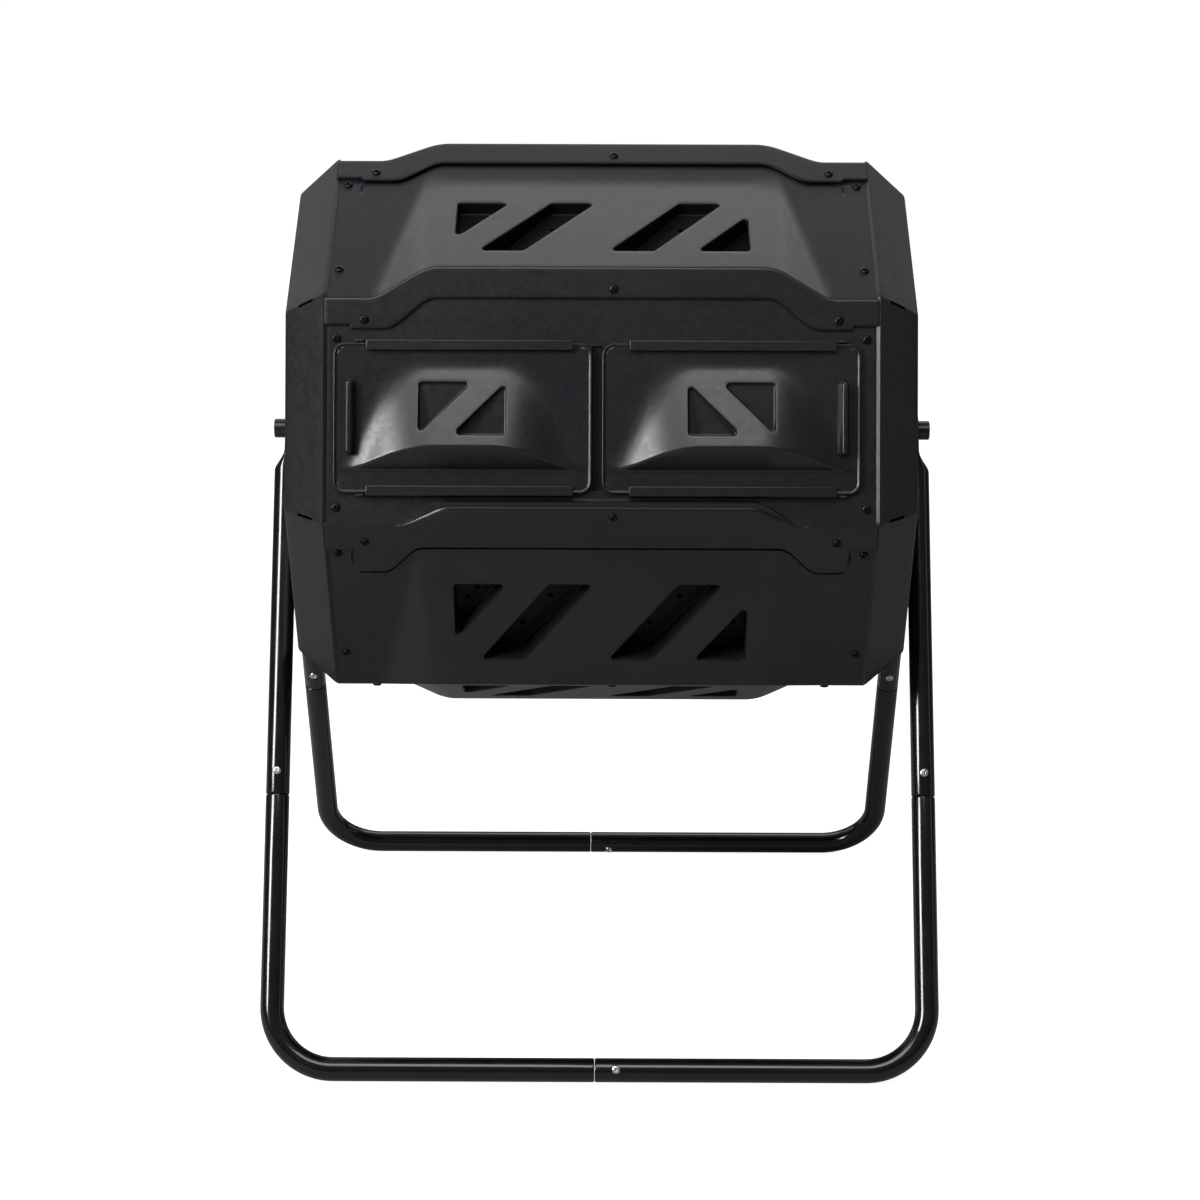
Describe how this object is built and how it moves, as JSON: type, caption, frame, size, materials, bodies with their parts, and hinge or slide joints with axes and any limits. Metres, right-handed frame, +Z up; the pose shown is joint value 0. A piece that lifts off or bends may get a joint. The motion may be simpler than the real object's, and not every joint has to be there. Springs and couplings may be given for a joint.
{
  "type": "compost tumbler",
  "caption": "Eight-sided plastic barrel with sliding doors and slanted vents that turns on an axle between two tubular U-shaped legs, for making compost.",
  "frame": {"origin": "on the floor, midway between the two foot bars and under the middle of the axle", "axes": "+Z up, +X along the axle towards the right as seen from the doors, -Y towards the side with the doors"},
  "size_m": [0.714, 0.6813, 0.9345],
  "materials": {
    "panel_plastic": "injection-moulded polypropylene with a fine satin grain",
    "door_plastic": "injection-moulded polypropylene with a fine satin grain",
    "cap_plastic": "injection-moulded polypropylene with a fine satin grain",
    "divider_plastic": "injection-moulded polypropylene",
    "bush_plastic": "smooth moulded nylon",
    "axle_cap_plastic": "smooth moulded plastic",
    "spacer_plastic": "smooth moulded nylon",
    "axle_steel": "glossy black powder coat",
    "tube_paint": "glossy black powder coat",
    "washer_steel": "zinc plated",
    "black_screws": "black oxide",
    "nuts": "zinc plated",
    "zinc_screws": "bright zinc plated"
  },
  "bodies": {
    "stand": {"axle_cap_left": "axle_cap_plastic", "axle_cap_right": "axle_cap_plastic", "axle_spacer_left": "spacer_plastic", "axle_spacer_right": "spacer_plastic", "axle_tube": "axle_steel", "axle_washer_left": "washer_steel", "axle_washer_right": "washer_steel", "lower_leg_front_left": "tube_paint", "lower_leg_front_right": "tube_paint", "lower_leg_rear_left": "tube_paint", "lower_leg_rear_right": "tube_paint", "stand_screws_front": "zinc_screws", "stand_screws_rear": "zinc_screws", "upper_leg_front_left": "tube_paint", "upper_leg_front_right": "tube_paint", "upper_leg_rear_left": "tube_paint", "upper_leg_rear_right": "tube_paint"},
    "barrel": {"centre_divider": "divider_plastic", "door_frame_panel": "panel_plastic", "end_cap_left": "cap_plastic", "end_cap_right": "cap_plastic", "end_nuts_left": "nuts", "end_nuts_right": "nuts", "end_screws_left": "black_screws", "end_screws_right": "black_screws", "hub_bush_left": "bush_plastic", "hub_bush_right": "bush_plastic", "panel_bottom": "panel_plastic", "panel_lower_front": "panel_plastic", "panel_lower_rear": "panel_plastic", "panel_rear": "panel_plastic", "panel_top": "panel_plastic", "panel_upper_front": "panel_plastic", "panel_upper_rear": "panel_plastic", "seam_nuts": "nuts", "seam_screws": "black_screws"},
    "door_left": {"door_left": "door_plastic"},
    "door_right": {"door_right": "door_plastic"}
  },
  "joints": [
    {"name": "barrel_spin", "type": "hinge", "parent": "stand", "child": "barrel", "pos_m": [0, 0, 0.622], "axis": [1, 0, 0], "continuous": true},
    {"name": "door_left_slide", "type": "slide", "parent": "barrel", "child": "door_left", "axis": [-1, 0, 0], "range_m": [0, 0.36]},
    {"name": "door_right_slide", "type": "slide", "parent": "barrel", "child": "door_right", "axis": [1, 0, 0], "range_m": [0, 0.36]}
  ]
}
